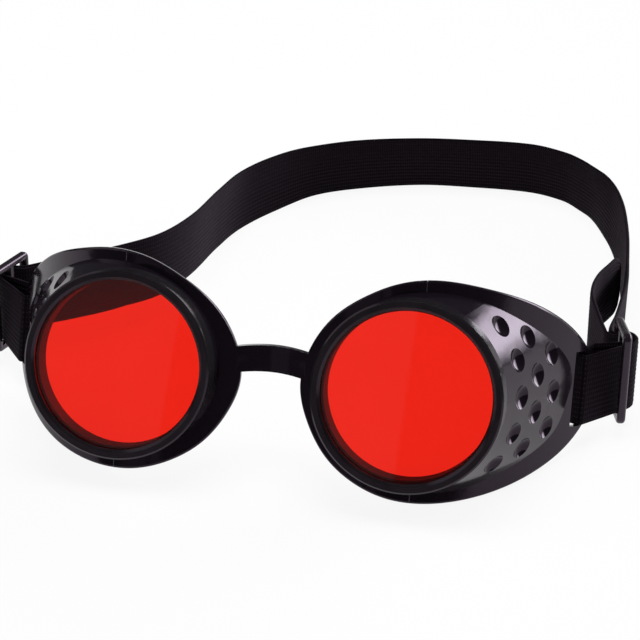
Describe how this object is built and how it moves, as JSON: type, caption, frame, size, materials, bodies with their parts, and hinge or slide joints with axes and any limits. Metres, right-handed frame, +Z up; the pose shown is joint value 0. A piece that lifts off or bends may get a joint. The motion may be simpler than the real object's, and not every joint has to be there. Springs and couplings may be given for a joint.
{
  "type": "goggles",
  "caption": "Round-lens goggles: one-piece dimpled eye cups, screw-on lens rings, tinted lenses and an elastic head strap with sliding buckles.",
  "frame": {"origin": "on the table under the middle of the whole part's box", "axes": "+Z up from the table, -Y the way the lenses face, +X the wearer's left"},
  "size_m": [0.1952, 0.2098, 0.0587],
  "materials": {
    "frame_plastic": "glossy black moulded plastic",
    "ring_plastic": "satin charcoal moulded plastic",
    "lens_tint": "clear red tinted sheet",
    "slider_plastic": "satin black moulded plastic",
    "strap_elastic": "matte black ribbed elastic"
  },
  "bodies": {
    "goggles": {"frame": "frame_plastic", "elastic_strap": "strap_elastic"},
    "left_lens": {"left_lens": "lens_tint"},
    "left_bezel": {"left_bezel": "ring_plastic"},
    "left_slider": {"left_slider": "slider_plastic"},
    "right_lens": {"right_lens": "lens_tint"},
    "right_bezel": {"right_bezel": "ring_plastic"},
    "right_slider": {"right_slider": "slider_plastic"}
  },
  "joints": [
    {"name": "left_lens_travel", "type": "slide", "parent": "goggles", "child": "left_lens", "axis": [0, -0.9291, 0.3697], "range_m": [0, 0.003]},
    {"name": "left_bezel_turn", "type": "hinge", "parent": "left_lens", "child": "left_bezel", "pos_m": [0.0407, -0.09524, 0.03403], "axis": [0, -0.9291, 0.3697], "range_deg": [0, 540]},
    {"name": "left_slider_travel", "type": "slide", "parent": "goggles", "child": "left_slider", "axis": [0, 1, 0], "range_m": [0, 0.015], "deforming": ["elastic_strap"]},
    {"name": "right_lens_travel", "type": "slide", "parent": "goggles", "child": "right_lens", "axis": [0, -0.9291, 0.3697], "range_m": [0, 0.003]},
    {"name": "right_bezel_turn", "type": "hinge", "parent": "right_lens", "child": "right_bezel", "pos_m": [-0.0407, -0.09524, 0.03403], "axis": [0, -0.9291, 0.3697], "range_deg": [0, 540]},
    {"name": "right_slider_travel", "type": "slide", "parent": "goggles", "child": "right_slider", "axis": [0, 1, 0], "range_m": [0, 0.015], "deforming": ["elastic_strap"]}
  ],
  "couplings": [
    {"joint": "left_lens_travel", "follows": "left_bezel_turn", "m_per_rad": 0.00031831},
    {"joint": "right_lens_travel", "follows": "right_bezel_turn", "m_per_rad": 0.00031831}
  ]
}
